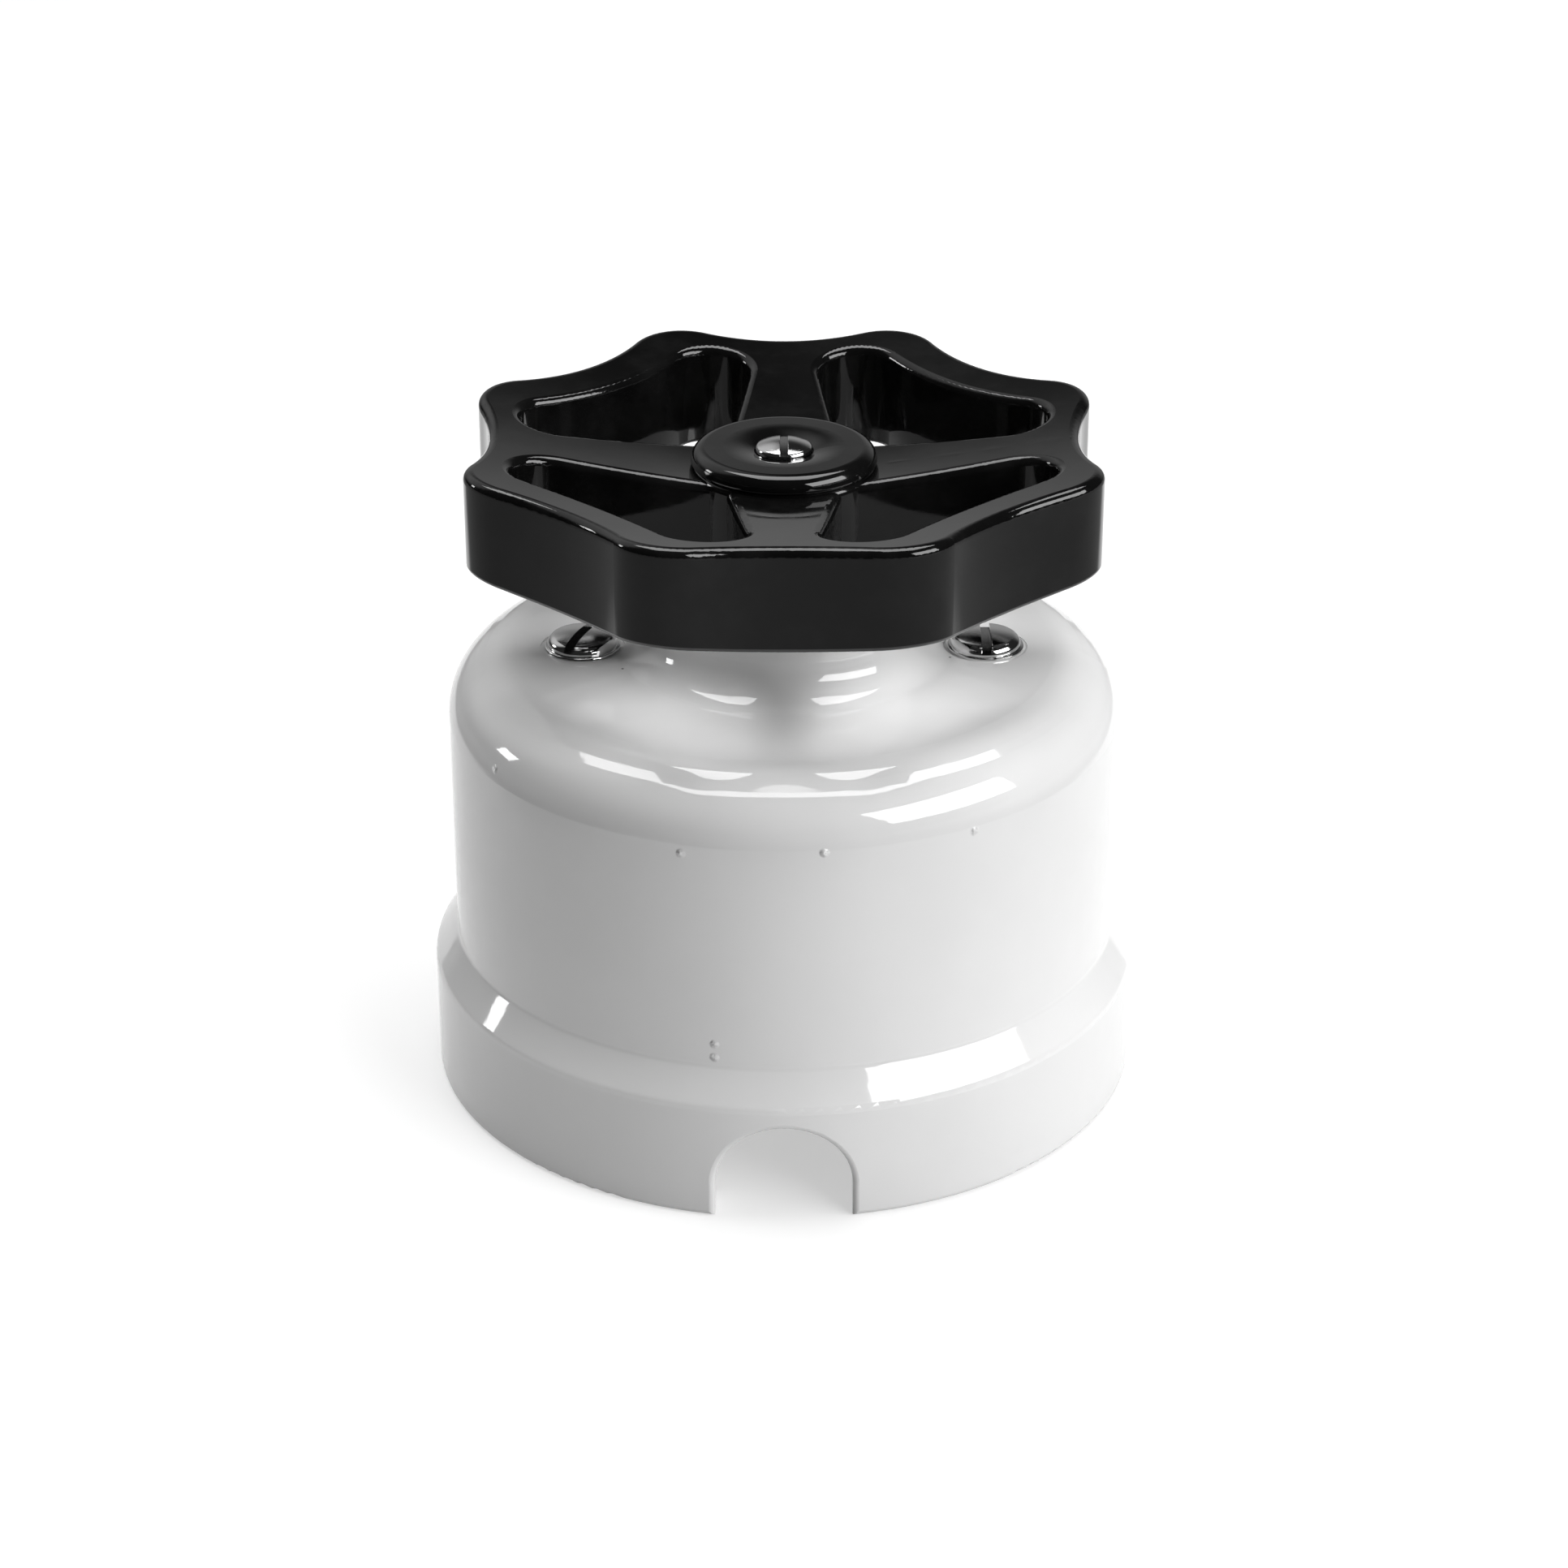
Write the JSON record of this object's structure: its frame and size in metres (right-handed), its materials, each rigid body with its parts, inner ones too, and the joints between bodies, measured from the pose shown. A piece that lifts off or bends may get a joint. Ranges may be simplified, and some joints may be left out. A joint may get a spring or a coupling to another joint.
{
  "type": "rotary switch",
  "caption": "Surface-mounted rotary light switch: a flanged, domed white porcelain cover with a cable notch, and a dished black handwheel with a lobed rim on its neck.",
  "frame": {"origin": "centre of the wall face, on the spindle's axis", "axes": "+Z out of the wall along the spindle, -Y towards the cable notch, the two cover screws on the X axis"},
  "size_m": [0.065, 0.065, 0.0611],
  "materials": {
    "white_glaze": "clear gloss glaze over white porcelain",
    "base_porcelain": "gloss glaze, thinner than on the cover",
    "block_ceramic": "unglazed, matt",
    "brass": "machined, plain",
    "contact_bronze": "rolled phosphor bronze strip",
    "bright_plating": "bright nickel plate",
    "steel": "zinc plated",
    "spring_steel": "blued spring strip",
    "brown_moulding": "moulded phenolic",
    "black_gloss": "polished"
  },
  "bodies": {
    "housing": {"cover": "white_glaze", "base": "base_porcelain", "contact_block": "block_ceramic", "post_left": "brass", "post_right": "brass", "neck_bushing": "brass", "thrust_washer": "brass", "cover_screw_left": "bright_plating", "cover_screw_right": "bright_plating", "post_screw_left": "steel", "post_screw_right": "steel", "block_screw_front": "steel", "block_screw_back": "steel", "yoke": "steel", "click_spring_left": "spring_steel", "click_spring_right": "spring_steel", "terminal_1": "brass", "terminal_screw_1": "steel", "fixed_contact_1": "contact_bronze", "terminal_2": "brass", "terminal_screw_2": "steel", "fixed_contact_2": "contact_bronze", "terminal_3": "brass", "terminal_screw_3": "steel", "fixed_contact_3": "contact_bronze", "terminal_4": "brass", "terminal_screw_4": "steel", "fixed_contact_4": "contact_bronze"},
    "rotor": {"spindle": "steel", "rotor_drum": "brown_moulding", "contact_bridge": "contact_bronze", "spacer": "brown_moulding", "click_cam": "brown_moulding", "handwheel": "black_gloss", "handwheel_cap": "black_gloss", "handwheel_screw": "bright_plating"}
  },
  "joints": [
    {"name": "handwheel_turn", "type": "hinge", "parent": "housing", "child": "rotor", "pos_m": [0, 0, 0], "axis": [0, 0, 1], "continuous": true, "deforming": ["click_spring_left", "click_spring_right"]}
  ]
}
